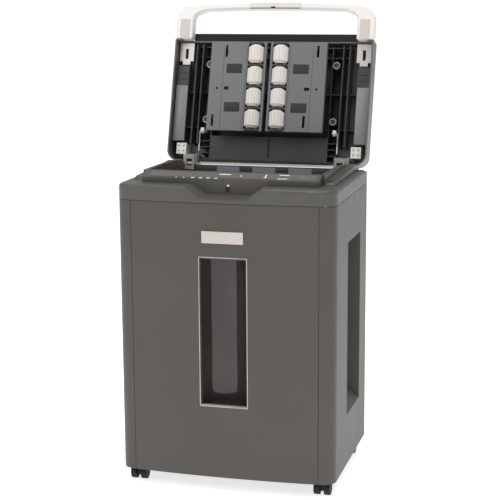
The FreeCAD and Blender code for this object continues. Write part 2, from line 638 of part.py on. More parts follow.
def handle_loop():
    """U-shaped handle in front of the lid: two arms and a bowed cross bar."""
    body = new_body("Handle")
    low, top, under = size("lid_high"), size("handle_outer"), size("handle_inner")
    wide, slim = size("lid_half"), size("handle_inner_half")
    shift = size("along_shift")
    sketch = sketch_on(body, "XZ_Plane", 0, "along_shift", "rim_ahead")
    shoulder_x, shoulder_z = wide - 27, top - 7
    outline(sketch, [
        (-wide, low), [(-wide, top - 36), (-wide + 8, top - 16), (-shoulder_x, shoulder_z)],
        [(-shoulder_x + 8, shoulder_z + 1.5), (0, top), (shoulder_x - 8, shoulder_z + 1.5)],
        [(shoulder_x, shoulder_z), (wide - 8, top - 16), (wide, top - 36)],
        (wide, low), (slim, low),
        [(slim, top - 38), (slim - 4, top - 26), (slim - 14, under - 7)],
        [(slim - 24, under - 3), (0, under), (-slim + 24, under - 3)],
        [(-slim + 14, under - 7), (-slim + 4, top - 26), (-slim, top - 38)], (-slim, low)])
    feature = pad(body, sketch, "handle_thick")
    feature.Reversed = True
    doc.recompute()
    if body.Shape.BoundBox.YMin < -size("rim_ahead") - 0.01:
        raise RuntimeError("handle grows the wrong way")
    return body


def lid_fittings():
    """Pulleys with their pull rods and the white bumper blocks near the hinge."""
    for side, sign in (("left", -1), ("right", 1)):
        x = "132.5 * %d" % sign
        pulley = joined([rod(X_AXIS, "%s - 3" % x, lid_y(-13), lid_z(54.5), 6, 6),
                         rod(X_AXIS, "%s - 5" % x, lid_y(-13), lid_z(54.5), 2, 10),
                         box("%s - 5" % x, lid_y(-11), lid_z(53), 1.5, "lid_deep - 11 - wall", 3),
                         box("%s + 3.5" % x, lid_y(-11), lid_z(53), 1.5, "lid_deep - 11 - wall", 3),
                         box("%s + 6.2 * %d - 1" % (x, sign), lid_y(-14), lid_z(14), 2, 2, 40),
                         box("%s - 2 + 4.2 * %d" % (x, sign), lid_y(-14), lid_z(50), 4, 2, 4)])
        keep(on_lid(pulley), "pulley_" + side)
        block = box("175.5 * %d - 10" % sign, lid_y(-16), lid_z(7.5), 20, "lid_deep - 16 - wall", 22)
        dimples = [rod(Y_AXIS, "175.5 * %d + %d" % (sign, dx), lid_y(-15), lid_z(18.5 + dz), 2.4, 4)
                   for dx in (-5, 5) for dz in (-5, 5)]
        keep(on_lid(less(block, dimples)), "bumper_block_" + side)


def pressure_plate(side, sign):
    """Sprung plate: bent edges, windows for four rollers and the axle that carries them."""
    start = "plate_inner" if sign > 0 else "-plate_outer"
    wide = "plate_outer - plate_inner"
    tall = "plate_high - plate_low"
    pieces = [box(start, lid_y("plate_proud"), lid_z("plate_low"), wide, "plate_thick", tall)]
    for x in (start, "%s + %s - plate_thick" % (start, wide)):
        pieces.append(box(x, lid_y("plate_proud"), lid_z("plate_low"), "plate_thick",
                          "plate_flange", tall))
    for along in ("plate_low", "plate_high - plate_thick"):
        pieces.append(box(start, lid_y("plate_proud"), lid_z(along), wide, "plate_flange",
                          "plate_thick"))
    cuts = []
    tabs = []
    middle = "roller_x * %d" % sign
    for i in range(4):
        centre = "roller_first + %d * roller_pitch" % i
        cuts.append(box("%s - roller_radius - 1" % middle, lid_y("plate_proud + 5"),
                        lid_z("%s - roller_long / 2 - 1" % centre), "2 * roller_radius + 2",
                        "plate_thick + 6", "roller_long + 2"))
    for i in range(5):
        tabs.append(box("%s - 4" % middle, lid_y("roller_level + 1.5"),
                        lid_z("roller_first + (%d - 0.5) * roller_pitch - 0.8" % i), 8, 5, 1.6))
    upper, lower = (84, 104) if sign < 0 else (98, 78)
    for x, along in ((upper, "plate_high - 30"), (lower, "plate_low + 8")):
        cuts.append(box("%g - 2.5" % (x * sign), lid_y("plate_proud + 1"), lid_z(along), 5, 4, 23))
    cuts.append(box("%g - 5" % (80 * sign), lid_y("plate_proud + 1"), lid_z(129), 10, 4, 6.5))
    cuts.append(rod(Y_AXIS, 99 * sign, lid_y("plate_proud + 1"), lid_z(132), 2.2, 4))
    axle = rod(Z_AXIS, middle, lid_y("roller_level"),
               lid_z("roller_first - 0.5 * roller_pitch - 2"), "axle_radius",
               "4 * roller_pitch + 4")
    keep(on_lid(joined([less(joined(pieces), cuts)] + tabs + [axle])), "pressure_plate_" + side)


def idler_roller(label, sign, number):
    """One fluted roller with chamfered ends, free on the axle."""
    body = new_body("Idler")
    middle = "roller_x * %d" % sign
    centre = "roller_first + %d * roller_pitch" % number
    start = lid_z("%s - roller_long / 2 + 0.6" % centre)
    level = lid_y("roller_level")
    tyre = circle(sketch_on(body, "XY_Plane", middle, level, start), "roller_radius")
    barrel = pad(body, tyre, "roller_long - 1.2")
    doc.recompute()
    ends = body.newObject("PartDesign::Chamfer", "IdlerEnds")
    ends.Base = (barrel, ["Edge%d" % i for i, e in enumerate(barrel.Shape.Edges, 1)
                          if e.BoundBox.ZLength < 0.01])
    ends.Size = 3
    doc.recompute()
    flutes = []
    for i in range(12):
        angle = 30 * i
        flutes.append(rod(Z_AXIS, "%s + (roller_radius + 0.3) * cos(%d deg)" % (middle, angle),
                          "%s + (roller_radius + 0.3) * sin(%d deg)" % (level, angle),
                          start, 1.3, "roller_long"))
    bore = rod(Z_AXIS, middle, level, "%s - 1" % start, "axle_radius + axle_gap", 60)
    keep(on_lid(less(body, flutes + [bore])), label)


# ---------------------------------------------------------------- cutter block

def gear_solid(teeth, x, z, start, wide, turn):
    """Spur gear with involute flanks and a little backlash, its axis along Y."""
    module = size("gear_module")
    pitch = teeth * module / 2
    base = pitch * math.cos(math.radians(20))
    tip, root = pitch + 0.9 * module, pitch - 1.25 * module
    backlash = 0.12
    half = math.pi / (2 * teeth) - backlash / (2 * pitch)
    mesh = math.tan(math.radians(20)) - math.radians(20)

    def flank(radius):
        spread = math.sqrt(max((radius / base) ** 2 - 1, 0))
        return half + mesh - (spread - math.atan(spread))

    low = max(base, root)
    radii = [low + (tip - low) * i / 5 for i in range(6)]
    points = []
    for tooth in range(teeth):
        centre = 2 * math.pi * tooth / teeth + turn
        around = [(root, -flank(low))] + [(r, -flank(r)) for r in radii]
        around += [(r, flank(r)) for r in reversed(radii)] + [(root, flank(low))]
        for radius, angle in around:
            points.append(V(x + radius * math.sin(centre + angle), start,
                            z + radius * math.cos(centre + angle)))
    face = Part.Face(Part.makePolygon(points + points[:1]))
    return face.extrude(V(0, wide, 0))


def gear(name, teeth, x, z, start, turn):
    feature = doc.addObject("Part::Feature", name)
    feature.Shape = gear_solid(teeth, x, z, start, size("gear_wide"), turn)
    return feature


def cutter(side, sign, gears):
    """Cutter shaft with hooked discs that pass between those of its neighbour."""
    body = new_body("Cutter")
    x, z = "cutter_half * %d" % sign, "cutter_level"
    first = size("plate_front_y") + size("plate_gauge") + 3 + (sign > 0) * size("disc_pitch") / 2
    shaft = circle(sketch_on(body, "XZ_Plane", x, z, "-(plate_front_y + plate_gauge + 1)"),
                   "cutter_shaft")
    length = "plate_rear_y - plate_front_y - plate_gauge - 2"
    pad(body, shaft, length).Reversed = True
    sketch = sketch_on(body, "XZ_Plane", x, z, "-(%g)" % first)
    radius = size("disc_radius")
    points = []
    for i in range(9):
        angle = 2 * math.pi * i / 9
        for reach, step in ((radius, 0), (radius, 0.42), (radius - 3.2, 0.56)):
            points.append((reach * math.cos(angle + step), reach * math.sin(angle + step)))
    outline(sketch, points)
    disc = pad(body, sketch, "disc_thick")
    disc.Reversed = True
    doc.recompute()
    row = body.newObject("PartDesign::LinearPattern", "Discs")
    row.Originals = [disc]
    row.Direction = (plane_of(body, "XZ_Plane"), [""])
    row.Reversed = True
    bind(row, Length="disc_pitch * (disc_count - 1)")
    row.Occurrences = int(size("disc_count"))
    body.Tip = row
    doc.recompute()
    if body.Shape.BoundBox.YMax > size("plate_rear_y"):
        raise RuntimeError("discs run past the rear plate")
    ends = [rod(Y_AXIS, x, "plate_front_y - 3", z, "journal", "plate_gauge + 6"),
            rod(Y_AXIS, x, "plate_rear_y - 3", z, "journal",
                7 + (size("gear_wide") + 2) * len(gears))]
    keep(joined([body] + ends + gears), "cutter_" + side)


def cutter_block():
    """Two cutters in mesh, feed rollers, motor with its pinion, between two plates."""
    half, z = size("cutter_half"), size("cutter_level")
    rear = size("plate_rear_y") + size("plate_gauge") + 2
    second = rear + size("gear_wide") + 2
    tooth = math.pi / size("sync_teeth")
    sync, drive, pinion = (int(size(n)) for n in ("sync_teeth", "drive_teeth", "pinion_teeth"))
    quarter = math.pi / 2
    left_gear = gear("SyncLeft", sync, -half, z, rear, quarter)
    right_gear = gear("SyncRight", sync, half, z, rear, -quarter + tooth)
    drive_gear = gear("Drive", drive, half, z, second, quarter)
    cutter("left", -1, [left_gear])
    cutter("right", 1, [right_gear, drive_gear])
    module = size("gear_module")
    motor_x = half + module * (drive + pinion) / 2
    pinion_gear = gear("Pinion", pinion, motor_x, z, second, -quarter + math.pi / pinion)
    stem = rod(Y_AXIS, motor_x, "plate_rear_y - 16", z, 4, 16 + size("plate_gauge") + 20)
    keep(joined([pinion_gear, stem]), "motor_pinion")
    motor = [rod(Y_AXIS, motor_x, "plate_rear_y - motor_long", z, "motor_radius", "motor_long"),
             rod(Y_AXIS, motor_x, "plate_rear_y - motor_long - 12", z, 16, 14),
             box(motor_x - 12, "plate_rear_y - 90", z + 20, 24, 60, 18)]
    bore = rod(Y_AXIS, motor_x, "plate_rear_y - 20", z, "4 + journal_gap", 30)
    keep(less(joined(motor), [bore]), "motor")
    for name, y in (("front", "plate_front_y"), ("rear", "plate_rear_y")):
        side_plate(name, y, motor_x)
    for side, sign in (("left", -1), ("right", 1)):
        feed_roller(side, sign)


def side_plate(name, y, motor_x):
    """Plate that carries the shafts, hung under the tray's floor."""
    body = new_body("CutterPlate")
    sketch = sketch_on(body, "XZ_Plane", -80, "cutter_level - 34", "-(%s)" % y)
    rectangle(sketch, 190, "well_floor - cutter_level + 34")
    pad(body, sketch, "plate_gauge").Reversed = True
    holes = []
    for sign in (-1, 1):
        holes.append(rod(Y_AXIS, "cutter_half * %d" % sign, "%s - 2" % y, "cutter_level",
                         "journal + journal_gap", 20))
        holes.append(rod(Y_AXIS, "feed_half * %d" % sign, "%s - 2" % y, "feed_level",
                         "feed_shaft + journal_gap", 20))
    if name == "rear":
        holes.append(rod(Y_AXIS, motor_x, "%s - 2" % y, "cutter_level", "4 + journal_gap", 20))
    keep(less(body, holes), "cutter_plate_" + name)


def feed_roller(side, sign):
    """Rubber-sleeved roller under the tray slot, one sleeve below each idler."""
    x = "feed_half * %d" % sign
    pieces = [rod(Y_AXIS, x, "plate_front_y - 3", "feed_level", "feed_shaft",
                  "plate_rear_y - plate_front_y + plate_gauge + 6")]
    for i in range(4):
        y = "hinge_back - along_shift - roller_first - %d * roller_pitch" % i
        pieces.append(rod(Y_AXIS, x, "%s - feed_sleeve / 2" % y, "feed_level", "feed_radius",
                          "feed_sleeve"))
    keep(joined(pieces), "feed_roller_" + side)


def rear_fittings():
    """Mains inlet and rocker switch low on the back."""
    shell = box(-135, "cabinet_depth / 2 - 22", 60, 30, 19, 24)
    lip = box(-138, "cabinet_depth / 2", 57, 36, 1.6, 54)
    neck = box(-134, "cabinet_depth / 2 - 3", 61, 28, 3, 22)
    cavity = box(-131, "cabinet_depth / 2 - 16", 64, 22, 40, 16)
    pins = [box(-120 + dx - 1, "cabinet_depth / 2 - 17", 71, 2, 12, 5) for dx in (-7, 0, 7)]
    rocker_seat = box(-134, "cabinet_depth / 2 - 12", 92, 28, 16, 15)
    frame = less(joined([shell, lip, neck]), [cavity, rocker_seat])
    keep(joined([frame] + pins), "power_inlet")
    pivot = [rod(X_AXIS, -133, "cabinet_depth / 2 - 2", 99.5, 5.5, 26),
             box(-133, "cabinet_depth / 2 - 1", 94.6, 26, 4.2, 9.8)]
    keep(joined(pivot), "mains_rocker")


# ---------------------------------------------------------------- casters

def caster(name, x, y):
    """Swivel fork with a stem, and a pair of wheels on one axle."""
    neck_front = "%s - caster_trail" % y
    fork = joined([rod(Z_AXIS, x, y, "wheel_radius * 2 + 1.5", "fork_disc",
                       "base_plate_level - wheel_radius * 2 - 2"),
                   rod(Z_AXIS, x, y, "base_plate_level - 1", "caster_stem", 5),
                   box("%s - wheel_gap / 2 + 0.5" % x, "%s - 6" % neck_front, "wheel_radius - 5",
                       "wheel_gap - 1", 16, "wheel_radius + 8")])
    hole = rod(X_AXIS, "%s - 10" % x, neck_front, "wheel_radius", "caster_axle + caster_gap", 20)
    keep(less(fork, [hole]), "caster_fork_" + name)
    wheels = [rod(X_AXIS, "%s + wheel_gap / 2" % x, neck_front, "wheel_radius", "wheel_radius",
                  "wheel_wide"),
              rod(X_AXIS, "%s - wheel_gap / 2 - wheel_wide" % x, neck_front, "wheel_radius",
                  "wheel_radius", "wheel_wide"),
              rod(X_AXIS, "%s - 12" % x, neck_front, "wheel_radius", "caster_axle", 24)]
    keep(joined(wheels), "caster_wheels_" + name)


def casters():
    for end, y in (("front", "caster_front"), ("rear", "caster_rear")):
        for side, sign in (("left", -1), ("right", 1)):
            caster("%s_%s" % (end, side), "(caster_x * %d)" % sign, "(%s)" % y)


# ---------------------------------------------------------------- build and write

def check_document():
    """Stop on any failed object or empty sub-part."""
    doc.recompute()
    failed = [o.Label for o in doc.Objects if "Invalid" in o.State or "Error" in o.State]
    for obj in parts:
        if obj.Shape.isNull() or not obj.Shape.isValid() or not obj.Shape.Solids:
            failed.append(obj.Label)
    if failed:
        raise RuntimeError("failed: " + ", ".join(failed))


def write_parts():
    os.makedirs("parts", exist_ok=True)
    for obj in parts:
        obj.Shape.exportStep(os.path.join("parts", obj.Label + ".step"))
        print("%-24s %9.0f mm3, %d solids" % (obj.Label, obj.Shape.Volume,
                                              len(obj.Shape.Solids)))


cabinet_skin, cabinet_inner = cabinet()
base_pan(cabinet_inner)
top_housing()
tray_deck()
control_panel()
hinge_brackets()
bin_parts(cabinet_skin, cabinet_inner)
lid_shell()
lid_ribs()
lid_front()
lid_fittings()
for side_name, side_sign in (("left", -1), ("right", 1)):
    pressure_plate(side_name, side_sign)
    for number in range(4):
        idler_roller("idler_%s_%d" % (side_name, number + 1), side_sign, number)
cutter_block()
rear_fittings()
casters()
check_document()
write_parts()
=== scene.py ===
import json
import math

import bmesh
import bpy
from mathutils import Matrix, Vector

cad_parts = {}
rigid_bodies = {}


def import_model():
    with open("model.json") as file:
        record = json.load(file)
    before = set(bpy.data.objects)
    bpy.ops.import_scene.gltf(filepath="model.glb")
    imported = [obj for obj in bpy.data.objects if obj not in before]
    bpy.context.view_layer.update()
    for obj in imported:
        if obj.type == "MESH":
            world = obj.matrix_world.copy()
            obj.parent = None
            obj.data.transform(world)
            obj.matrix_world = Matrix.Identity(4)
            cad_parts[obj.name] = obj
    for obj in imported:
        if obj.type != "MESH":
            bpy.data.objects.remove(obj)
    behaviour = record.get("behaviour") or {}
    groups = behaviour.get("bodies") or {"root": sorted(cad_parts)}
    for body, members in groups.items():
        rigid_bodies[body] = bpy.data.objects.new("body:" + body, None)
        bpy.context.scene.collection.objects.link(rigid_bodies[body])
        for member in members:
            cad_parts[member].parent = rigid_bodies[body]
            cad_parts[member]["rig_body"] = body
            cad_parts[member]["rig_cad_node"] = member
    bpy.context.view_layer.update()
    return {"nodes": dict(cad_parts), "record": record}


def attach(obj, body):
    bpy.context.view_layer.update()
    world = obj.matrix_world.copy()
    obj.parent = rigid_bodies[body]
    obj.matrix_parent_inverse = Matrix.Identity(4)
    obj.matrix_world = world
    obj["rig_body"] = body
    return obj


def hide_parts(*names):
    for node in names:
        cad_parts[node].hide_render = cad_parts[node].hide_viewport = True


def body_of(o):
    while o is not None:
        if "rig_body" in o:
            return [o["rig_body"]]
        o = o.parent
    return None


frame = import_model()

# ---------------------------------------------------------------- camera, light and floor
# A long lens at chest height, a little to the right of the machine, with three large soft
# lights and a pale floor that runs off to the horizon.

turned, raised, rolled = math.radians(15.17), math.radians(11.05), math.radians(-0.33)
ahead = Vector((-math.sin(turned) * math.cos(raised), math.cos(turned) * math.cos(raised),
                -math.sin(raised)))
level = ahead.cross(Vector((0, 0, 1))).normalized()
upright = level.cross(ahead)
right = math.cos(rolled) * level + math.sin(rolled) * upright
up = math.cos(rolled) * upright - math.sin(rolled) * level
bpy.ops.object.camera_add()
camera = bpy.context.object
camera.name = "camera"
camera.data.lens = 100
camera.data.sensor_width = 36
camera.data.clip_end = 30
camera.matrix_world = (Matrix.Translation((0.6722, -2.4556, 0.915))
                       @ Matrix((right, up, -ahead)).transposed().to_4x4())
bpy.context.scene.camera = camera


def soft_light(name, place, target, wide, watts):
    """A square softbox aimed at a point of the machine."""
    bpy.ops.object.light_add(type="AREA", location=place)
    lamp = bpy.context.object
    lamp.name = name
    lamp.data.size = wide
    lamp.data.energy = watts
    lamp.rotation_euler = (Vector(target) - Vector(place)).to_track_quat("-Z", "Y").to_euler()


soft_light("key_light", (-1.9, -2.6, 2.5), (0, 0, 0.45), 1.6, 21)
soft_light("fill_light", (2.6, -2.2, 1.4), (0, 0, 0.4), 2.0, 3)
soft_light("top_light", (0.1, -0.2, 2.9), (0, 0, 0.5), 2.2, 38)
world = bpy.data.worlds.new("studio")
bpy.context.scene.world = world
world.use_nodes = True
sky = world.node_tree.nodes["Background"].inputs
sky["Color"].default_value = (1, 1, 1, 1)
# The backdrop looks white, yet lights the machine only half as much.
looked_at = world.node_tree.nodes.new("ShaderNodeLightPath").outputs["Is Camera Ray"]
brightness = world.node_tree.nodes.new("ShaderNodeMapRange")
brightness.inputs["To Min"].default_value = 0.55
brightness.inputs["To Max"].default_value = 1.1
world.node_tree.links.new(looked_at, brightness.inputs["Value"])
world.node_tree.links.new(brightness.outputs["Result"], sky["Strength"])
bpy.context.scene.view_settings.view_transform = "Standard"

bpy.ops.object.select_all(action="DESELECT")
bpy.ops.mesh.primitive_plane_add(size=16, location=(0, 0, 0))
floor = bpy.context.object
floor.name = "floor"
paper = bpy.data.materials.new("floor_paper")
paper.use_nodes = True
paper_shader = paper.node_tree.nodes["Principled BSDF"].inputs
paper_shader["Base Color"].default_value = (0.93, 0.93, 0.93, 1)
paper_shader["Roughness"].default_value = 0.9
paper_shader["Emission Color"].default_value = (1, 1, 1, 1)
paper_shader["Emission Strength"].default_value = 0.7
floor.data.materials.append(paper)


# ---------------------------------------------------------------- cabinet panels
# Side panels, rear panel, base pan and the bin's door are warm grey mouldings with a fine
# spark-eroded grain; the sides wrap round the front corners and meet the door at a fine seam.

class Link:
    """A socket that takes part in Python sums; each sum adds one Math node."""

    def __init__(self, finish, socket):
        self.finish = finish
        self.socket = socket

    def maths(self, operation, first, second):
        return self.finish.node("ShaderNodeMath", {"operation": operation}, {0: first, 1: second})

    def __add__(self, other):
        return self.maths("ADD", self, other)

    def __sub__(self, other):
        return self.maths("SUBTRACT", self, other)

    def __mul__(self, other):
        return self.maths("MULTIPLY", self, other)

    def __rsub__(self, other):
        return self.maths("SUBTRACT", other, self)

    __radd__ = __add__
    __rmul__ = __mul__


class Finish:
    """A material under construction round one Principled shader."""

    def __init__(self, name):
        self.material = bpy.data.materials.new(name)
        self.material.use_nodes = True
        self.tree = self.material.node_tree
        self.shader = self.tree.nodes["Principled BSDF"]
        place = self.tree.nodes.new("ShaderNodeTexCoord")
        self.place = Link(self, place.outputs["Object"])

    def node(self, kind, settings, values, output=0):
        """Add a node: its settings first, then a value or a link for each socket."""
        made = self.tree.nodes.new(kind)
        for name, value in settings.items():
            setattr(made, name, value)
        for name, value in values.items():
            if isinstance(value, Link):
                self.tree.links.new(value.socket, made.inputs[name])
            else:
                made.inputs[name].default_value = value
        return Link(self, made.outputs[output])

    def noise(self, scale, detail=2.0, rough=0.5, stretch=(1, 1, 1)):
        """Noise between 0 and 1 in the piece's own metres."""
        where = self.place
        if stretch != (1, 1, 1):
            where = self.node("ShaderNodeMapping", {}, {"Vector": self.place, "Scale": stretch})
        return self.node("ShaderNodeTexNoise", {}, {"Vector": where, "Scale": scale,
                                                    "Detail": detail, "Roughness": rough})

    def step(self, value, low, high):
        """0 below low, 1 above high, smooth between."""
        return self.node("ShaderNodeMapRange", {"interpolation_type": "SMOOTHSTEP"},
                         {0: value, 1: low, 2: high})

    def blend(self, amount, first, second):
        """A colour between two colours."""
        return self.node("ShaderNodeMix", {"data_type": "RGBA"},
                         {0: amount, 6: first, 7: second}, 2)

    def bump(self, height, strength, distance):
        return self.node("ShaderNodeBump", {}, {"Height": height, "Strength": strength,
                                                "Distance": distance})

    def shade(self, **sockets):
        """Set the shader: links where a value varies, plain numbers where it doesn't."""
        for name, value in sockets.items():
            socket = self.shader.inputs[name.replace("_", " ")]
            if isinstance(value, Link):
                self.tree.links.new(value.socket, socket)
            else:
                socket.default_value = value
        return self.material


def tone(red, green, blue):
    """A colour given as it looks on a screen, 0 to 255, as the shader's own numbers."""
    return tuple((part / 255) ** 2.2 for part in (red, green, blue))


def moulded(name, colour, rough=0.46, grain=0.1, grain_size=1100, fade=0.05):
    """Injection-moulded plastic: eroded grain, a slow drift in tone, faint polish marks."""
    finish = Finish(name)
    dark = tuple(c * (1 - fade) for c in colour) + (1,)
    light = tuple(c * (1 + fade) for c in colour) + (1,)
    drift = finish.noise(5, 3)
    pits = finish.noise(grain_size, 2, 0.6)
    rubbed = finish.step(finish.noise(23, 4, 0.65), 0.45, 0.8)
    return finish.shade(Base_Color=finish.blend(finish.step(drift + (pits - 0.5) * 0.3, 0.3, 0.7),
                                                dark, light),
                        Roughness=rough + (pits - 0.5) * 0.12 - rubbed * 0.05,
                        Normal=finish.bump(pits, grain, 0.0004))


def wear(nodes, material):
    """Give CAD nodes one finish."""
    for name in nodes:
        shape = frame["nodes"][name]
        shape.data.materials.clear()
        shape.data.materials.append(material)


cabinet_grey = moulded("cabinet_moulding", tone(73, 70, 65), 0.5, 0.1, 900)
wear(["side_panel_left", "side_panel_right", "rear_panel", "bin_front_panel"], cabinet_grey)
wear(["base_pan"], moulded("base_moulding", tone(50, 48, 46), 0.6, 0.2, 700))


# ---------------------------------------------------------------- top housing and tray deck
# The ring above the door and the raised deck that holds the paper share one moulding colour.
# Their edges are eased by about a millimetre, so the shoulder and the notch catch the light.

def activate(shape):
    """Leave one object selected, active and in edit mode."""
    bpy.ops.object.select_all(action="DESELECT")
    shape.select_set(True)
    bpy.context.view_layer.objects.active = shape
    bpy.ops.object.mode_set(mode="EDIT")


def softened(node, width, segments):
    """A copy of a CAD node with its sharp edges eased, as a mould leaves them."""
    source = frame["nodes"][node]
    shape = source.copy()
    shape.data = source.data.copy()
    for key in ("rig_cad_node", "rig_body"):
        if key in shape:
            del shape[key]
    shape.parent = None
    shape.name = node + "_eased"
    bpy.context.scene.collection.objects.link(shape)
    activate(shape)
    bpy.ops.mesh.select_all(action="SELECT")
    bpy.ops.mesh.remove_doubles(threshold=0.00001)
    bpy.ops.mesh.dissolve_limited(angle_limit=math.radians(0.6))
    bpy.ops.object.mode_set(mode="OBJECT")
    ease = shape.modifiers.new("ease", "BEVEL")
    ease.width = width
    ease.segments = segments
    ease.limit_method = "ANGLE"
    ease.angle_limit = math.radians(35)
    ease.use_clamp_overlap = True
    bpy.ops.object.modifier_apply(modifier="ease")
    bpy.ops.object.shade_smooth_by_angle(angle=math.radians(38))
    weigh = shape.modifiers.new("weigh", "WEIGHTED_NORMAL")
    weigh.keep_sharp = True
    bpy.ops.object.modifier_apply(modifier="weigh")
    return shape


def ride_with(shape, node, material):
    """Fix a piece to the body a CAD node belongs to, and give it its finish."""
    shape.data.materials.clear()
    shape.data.materials.append(material)
    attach(shape, body_of(frame["nodes"][node])[0])
    return shape


def eased_for(node, width, material, segments=2):
    """An eased copy that is shown instead of its CAD node."""
    shape = ride_with(softened(node, width, segments), node, material)
    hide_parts(node)
    return shape


housing_grey = moulded("housing_moulding", tone(78, 76, 71), 0.46, 0.1, 900)
eased_for("top_housing", 0.0012, housing_grey)
eased_for("tray_deck", 0.001, housing_grey)


# ---------------------------------------------------------------- door seams
# A thin dark strip stands behind each upright seam between the door and a side panel. It is
# fixed to the side panel, and its dark colour is painted shade in the gap.

def settle(shape, name, pose=None, smooth=35):
    """Leave edit mode, carry the mesh to its place and name the piece."""
    if bpy.context.mode != "OBJECT":
        bpy.ops.object.mode_set(mode="OBJECT")
    shape.data.transform(shape.matrix_world)
    shape.matrix_world = Matrix.Identity(4)
    if pose:
        shape.data.transform(pose)
    shape.data.update()
    shape.name = name
    bpy.ops.object.shade_smooth_by_angle(angle=math.radians(smooth))
    return shape


def slab(low, high, ease=0.0004, segments=2):
    """A block between two corners with every edge eased."""
    size = [b - a for a, b in zip(low, high)]
    middle = [(a + b) / 2 for a, b in zip(low, high)]
    bpy.ops.mesh.primitive_cube_add(size=1, location=middle)
    shape = bpy.context.object
    shape.scale = size
    bpy.ops.object.transform_apply(location=True, rotation=True, scale=True)
    activate(shape)
    bpy.ops.mesh.select_all(action="SELECT")
    bpy.ops.mesh.bevel(offset=ease, segments=segments, affect="EDGES")
    bpy.ops.object.mode_set(mode="OBJECT")
    return shape


seam_shadow = moulded("seam_shadow", tone(30, 29, 28), 0.8, 0.1, 700)
for side, sign in (("left", -1), ("right", 1)):
    near, far = sorted((sign * 0.1655, sign * 0.1765))
    backing = slab((near, -0.1513, 0.0450), (far, -0.1503, 0.5280), 0.0003)
    ride_with(settle(backing, "seam_shade_strip_" + side), "side_panel_" + side, seam_shadow)


# ---------------------------------------------------------------- latch slot and status light
# The lid's catch drops into a short slot in the deck's front face, over the notch. A thin dark
# frame round it is painted shade at the slot's edges, and a small white moulded lens is set above
# it.

def one_piece(shapes):
    """Several objects joined into the first."""
    bpy.ops.object.select_all(action="DESELECT")
    for shape in shapes:
        shape.select_set(True)
    bpy.context.view_layer.objects.active = shapes[0]
    if len(shapes) > 1:
        bpy.ops.object.join()
    return shapes[0]


def framed(low, high, border, deep, ease):
    """A flat rectangular frame in the XZ plane: outer corners, border width and depth."""
    (left, front, bottom), (end, top) = low, high
    bars = [slab((left, front, bottom), (end, front + deep, bottom + border), ease),
            slab((left, front, top - border), (end, front + deep, top), ease),
            slab((left, front, bottom + border), (left + border, front + deep, top - border), ease),
            slab((end - border, front, bottom + border), (end, front + deep, top - border), ease)]
    return one_piece(bars)


lens_white = moulded("lens_white", tone(235, 235, 230), 0.2, 0.0, 900, 0.02)
slot_edge_shade = moulded("slot_edge_shade", tone(38, 36, 34), 0.7, 0.1, 700)
wear(["status_lens"], lens_white)
latch = framed((-0.0042, -0.1213, 0.5448), (0.0042, 0.5556), 0.0009, 0.0006, 0.0002)
ride_with(settle(latch, "latch_slot_shade"), "tray_deck", slot_edge_shade)


# ---------------------------------------------------------------- window
# A clear pane curves into the bin behind a tall opening in the door. Thin pale strips at the
# sides and at the foot are painted highlights on the pane's edges; the dark inside of the bin shows
# through.

pane = Finish("pane_clear")
haze = pane.noise(9, 3, 0.6)
smears = pane.noise(60, 3, 0.6, (1, 1, 0.25))
wear(["window_pane"], pane.shade(
    Base_Color=pane.blend(haze, tone(54, 50, 47) + (1,), tone(78, 72, 67) + (1,)),
    Alpha=0.42 + haze * 0.16, Roughness=0.06 + smears * 0.08, Coat_Weight=0.6))
# The edge finish is a painted highlight: pale colour where light catches the pane's edges.
edge_finish = Finish("pane_edge_highlight")
glint = edge_finish.noise(40, 2, 0.5, (1, 1, 0.3))
edge_highlight = edge_finish.shade(
    Base_Color=edge_finish.blend(glint, tone(150, 148, 144) + (1,), tone(214, 213, 210) + (1,)),
    Roughness=0.18 + glint * 0.1, Coat_Weight=0.5)
edge_glints = framed((-0.0446, -0.1622, 0.1608), (0.0446, 0.4347), 0.0013, 0.0034, 0.0004)
ride_with(settle(edge_glints, "window_edge_glints"), "window_pane", edge_highlight)
foot_glint = slab((-0.0433, -0.1606, 0.1622), (0.0433, -0.1516, 0.1634), 0.0004)
ride_with(settle(foot_glint, "window_foot_glint"), "window_pane", edge_highlight)
wear(["bin_tray"], moulded("bin_plastic", tone(50, 48, 46), 0.55, 0.15, 600))


# ---------------------------------------------------------------- badge
# A blank satin metal plate with eased edges, brushed from side to side and glued to the door
# above the window.

plate_finish = Finish("badge_satin")
brushed = plate_finish.noise(500, 3, 0.6, (0.05, 1, 1))
badge_satin = plate_finish.shade(
    Base_Color=plate_finish.blend(brushed, tone(186, 177, 170) + (1,), tone(202, 193, 187) + (1,)),
    Metallic=0.25, Roughness=0.34 + brushed * 0.12, Normal=plate_finish.bump(brushed, 0.08, 0.0002))
eased_for("badge_plate", 0.0005, badge_satin)


# ---------------------------------------------------------------- casters
# Four black twin-wheel casters: a hooded nylon fork whose stem is pushed into the base pan, over
# two wheels on one axle.

caster_black = moulded("caster_black", tone(14, 14, 14), 0.65, 0.12, 800)
wheel_black = moulded("wheel_black", tone(16, 16, 16), 0.7, 0.18, 900)
for corner in ("front_left", "front_right", "rear_left", "rear_right"):
    eased_for("caster_fork_" + corner, 0.0006, caster_black)
    eased_for("caster_wheels_" + corner, 0.0012, wheel_black)


# ---------------------------------------------------------------- lid shell and ribs
# A deep tray leaning back: outside in the cabinet's grey, inside a cool dark grey with
# smooth side channels and a rack of thin ribs.

hinge = next(joint for joint in frame["record"]["behaviour"]["joints"]
             if joint["name"] == "lid_hinge")
lean = math.radians(16.8)
lid_pose = Matrix.Translation(hinge["pos_m"]) @ Matrix.Rotation(-lean, 4, "X")
lid_grey = moulded("lid_moulding", tone(92, 91, 92), 0.38, 0.08, 900)
rib_grey = moulded("rib_moulding", tone(56, 56, 58), 0.42, 0.1, 800)
eased_for("lid_shell", 0.0008, lid_grey)
eased_for("lid_ribs", 0.0004, rib_grey)


def on_lid(x, along, proud):
    """A point of the lid: across, up along the lid, and out from its rim."""
    return (x, -0.01025 - proud, along + 0.0008)


